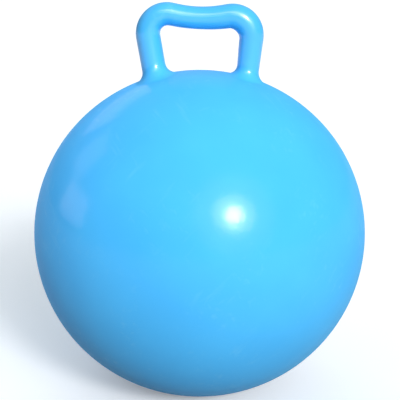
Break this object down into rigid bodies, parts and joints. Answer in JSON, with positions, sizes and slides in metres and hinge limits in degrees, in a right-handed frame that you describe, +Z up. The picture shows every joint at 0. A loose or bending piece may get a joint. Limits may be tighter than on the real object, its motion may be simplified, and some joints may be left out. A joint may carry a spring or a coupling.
{
  "type": "hopper ball",
  "caption": "Inflated hopper ball, slightly wider than high, with a filleted loop handle on its crown and a push-in filling plug seated in the wall at the back.",
  "frame": {"origin": "middle of the flat patch that the ball stands on, on the floor", "axes": "+Z up, +X along the grip of the handle, +Y towards the valve at the back"},
  "size_m": [0.4499, 0.4497, 0.5308],
  "materials": {
    "skin": "gloss",
    "handle": "gloss",
    "valve_bush": "satin",
    "plug": "satin"
  },
  "bodies": {
    "ball": {"ball_skin": "skin", "handle_loop": "handle", "valve_seat": "valve_bush"},
    "plug": {"valve_plug": "plug"}
  },
  "joints": [
    {"name": "plug_pull", "type": "slide", "parent": "ball", "child": "plug", "axis": [0, 1, 0], "range_m": [0, 0.03]}
  ]
}
